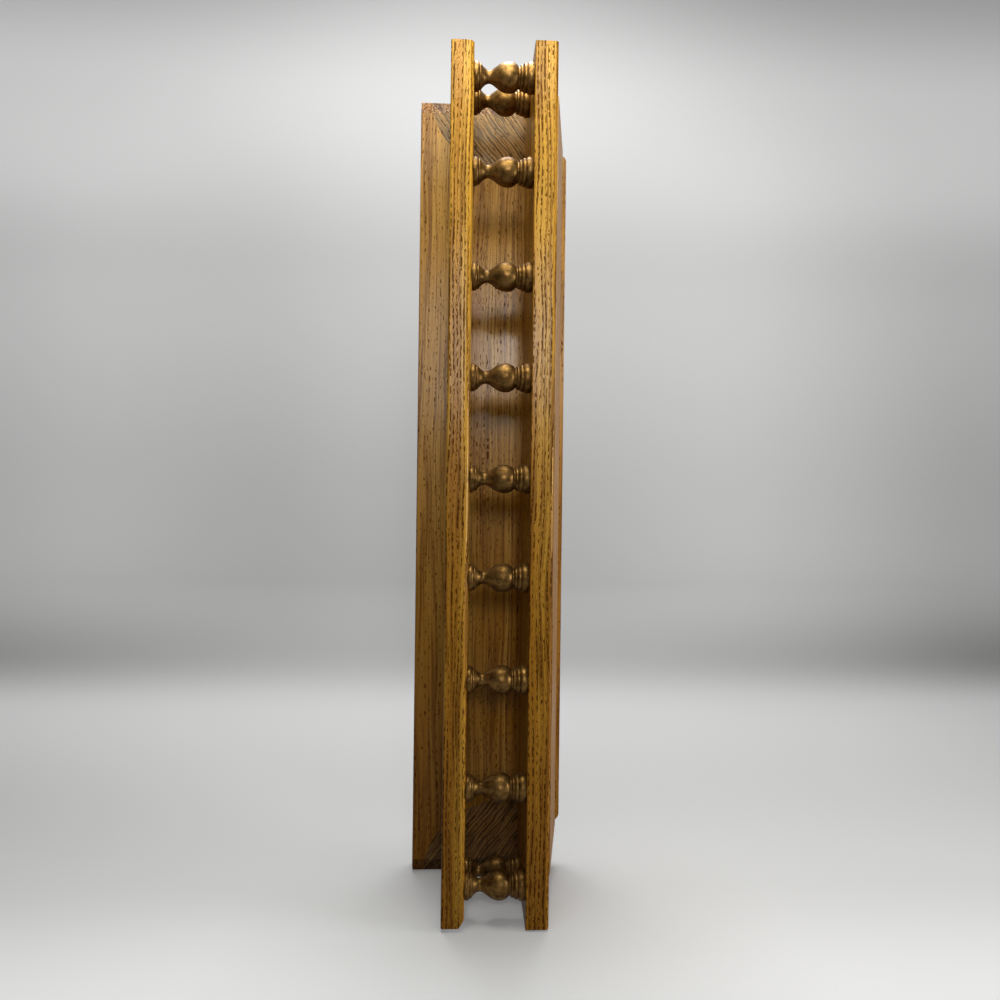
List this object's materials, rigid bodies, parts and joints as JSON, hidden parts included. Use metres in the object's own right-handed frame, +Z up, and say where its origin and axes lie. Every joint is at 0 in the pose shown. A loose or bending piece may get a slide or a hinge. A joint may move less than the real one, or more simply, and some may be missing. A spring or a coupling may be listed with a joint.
{
  "type": "wall shelf",
  "caption": "Oak wall shelf with a tall back board, a low gallery rail on antique brass spindles along the front and sides, and a tapered board beneath.",
  "frame": {"origin": "centre of the back board's wall face, level with the top surface of the shelf board", "axes": "+X along the shelf, +Y towards the wall, +Z up"},
  "size_m": [0.612, 0.1016, 0.116],
  "materials": {
    "oak": "satin lacquered oak, open grain",
    "antique_brass": "brass toned brown and rubbed bright on the rounds, under clear lacquer",
    "dowel_wood": "bare hardwood",
    "zinc_steel": "zinc plated"
  },
  "bodies": {
    "root": {"shelf_board": "oak", "back_board": "oak", "soffit_board": "oak", "gallery_front_rail": "oak", "gallery_side_rail_left": "oak", "gallery_side_rail_right": "oak", "front_spindle_1": "antique_brass", "front_spindle_2": "antique_brass", "front_spindle_3": "antique_brass", "front_spindle_4": "antique_brass", "front_spindle_5": "antique_brass", "front_spindle_6": "antique_brass", "front_spindle_7": "antique_brass", "front_spindle_8": "antique_brass", "front_spindle_9": "antique_brass", "side_spindle_left": "antique_brass", "side_spindle_right": "antique_brass", "gallery_dowels": "dowel_wood", "soffit_dowels": "dowel_wood", "keyhole_plate_left": "zinc_steel", "keyhole_plate_right": "zinc_steel", "keyhole_plate_screws": "zinc_steel", "shelf_screws": "zinc_steel"}
  },
  "joints": []
}
